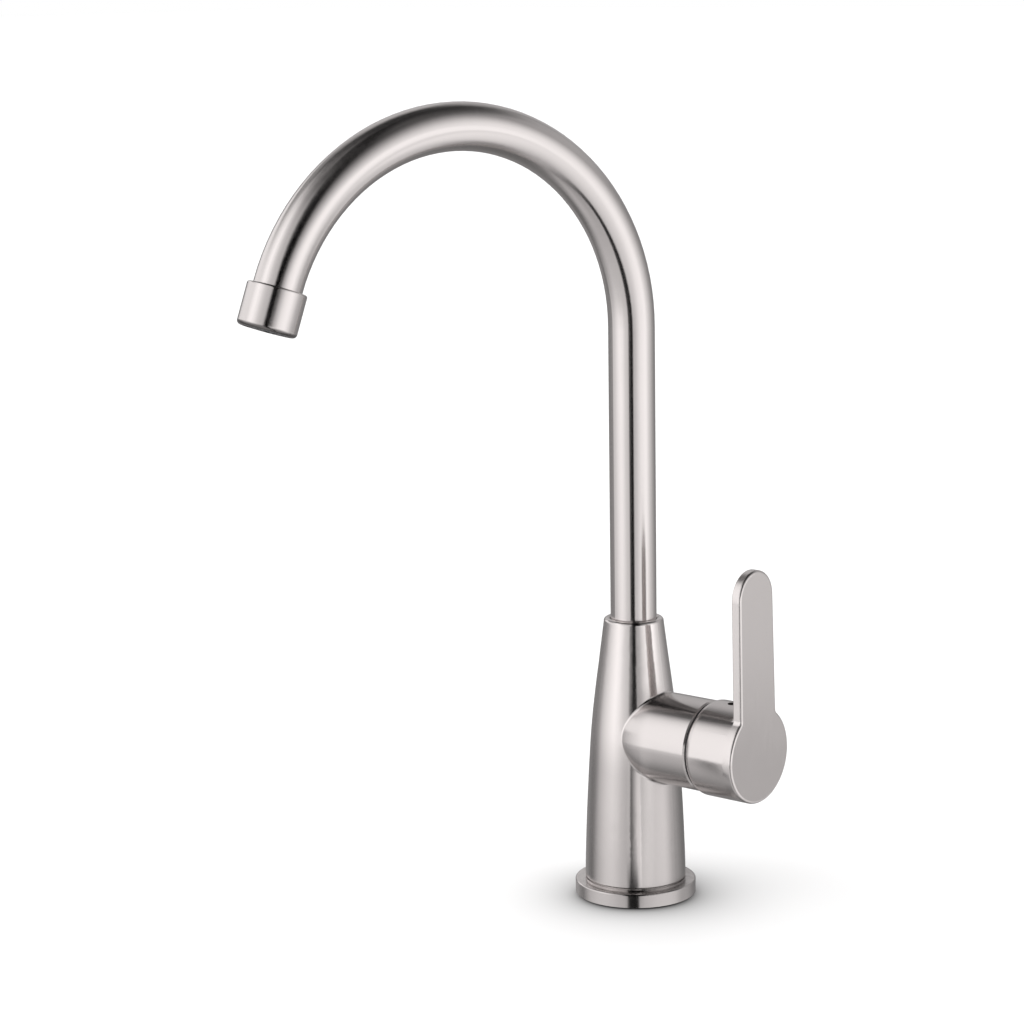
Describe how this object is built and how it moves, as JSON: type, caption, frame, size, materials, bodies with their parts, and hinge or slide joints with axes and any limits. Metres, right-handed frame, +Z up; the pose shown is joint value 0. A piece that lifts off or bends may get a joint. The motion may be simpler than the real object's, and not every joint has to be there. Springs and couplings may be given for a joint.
{
  "type": "gooseneck bar faucet",
  "caption": "Single-lever bar faucet with a tapered body, a side cartridge housing with an upright lever, and a swivelling half-round gooseneck spout.",
  "frame": {"origin": "centre of the body's foot on the deck plane", "axes": "+Z up along the body, +X out along the handle's axis, so -Y is the user's side; the spout points about 15 degrees from -Y towards -X"},
  "size_m": [0.1265, 0.2091, 0.3494],
  "materials": {
    "brushed_finish": "brushed satin nickel",
    "seal_rubber": "matt",
    "brass_core": "turned",
    "bearing_plastic": "smooth",
    "stainless": "bright stainless",
    "aerator_plastic": "moulded",
    "cartridge_plastic": "moulded",
    "ceramic": "lapped ceramic",
    "dome_chrome": "polished",
    "glide_plastic": "moulded",
    "dark_steel": "black oxide"
  },
  "bodies": {
    "base": {"base_flange": "brushed_finish", "base_gasket": "seal_rubber", "valve_body": "brushed_finish", "cartridge_base": "cartridge_plastic", "cartridge_seals": "seal_rubber", "cartridge_shell": "cartridge_plastic", "fixed_ceramic_disc": "ceramic", "retaining_nut": "brass_core", "dome_cover": "dome_chrome", "handle_glide_ring": "glide_plastic"},
    "spout": {"spout_tube": "brushed_finish", "spout_spigot": "brass_core", "spout_lower_slip_ring": "bearing_plastic", "spout_upper_slip_ring": "bearing_plastic", "spout_lower_o_ring": "seal_rubber", "spout_upper_o_ring": "seal_rubber", "spout_snap_ring": "stainless", "outlet_nipple": "brass_core", "aerator_cap": "brushed_finish", "aerator_washer": "seal_rubber", "aerator_screen": "stainless", "aerator_insert": "aerator_plastic"},
    "rotor": {"rotating_sleeve": "bearing_plastic", "stem_pivot_pin": "stainless"},
    "lever": {"cartridge_stem": "brass_core", "lever_handle": "brushed_finish", "handle_set_screw": "dark_steel"},
    "ceramic": {"moving_ceramic_disc": "ceramic", "disc_carrier": "bearing_plastic"}
  },
  "joints": [
    {"name": "spout_swivel", "type": "hinge", "parent": "base", "child": "spout", "pos_m": [0, 0, 0.1239], "axis": [0, 0, 1], "continuous": true},
    {"name": "handle_turn", "type": "hinge", "parent": "base", "child": "rotor", "pos_m": [0.0312, 0, 0.0727], "axis": [1, 0, 0], "range_deg": [-46.8, 43.2]},
    {"name": "handle_lift", "type": "hinge", "parent": "rotor", "child": "lever", "pos_m": [0.0312, 0, 0.0727], "axis": [0, 0.9995, 0.0314], "range_deg": [0, 20]},
    {"name": "disc_slide", "type": "slide", "parent": "rotor", "child": "ceramic", "axis": [0, -0.0314, 0.9995], "range_m": [0, 0.0028]}
  ],
  "couplings": [
    {"joint": "disc_slide", "follows": "handle_lift", "m_per_rad": 0.008}
  ]
}
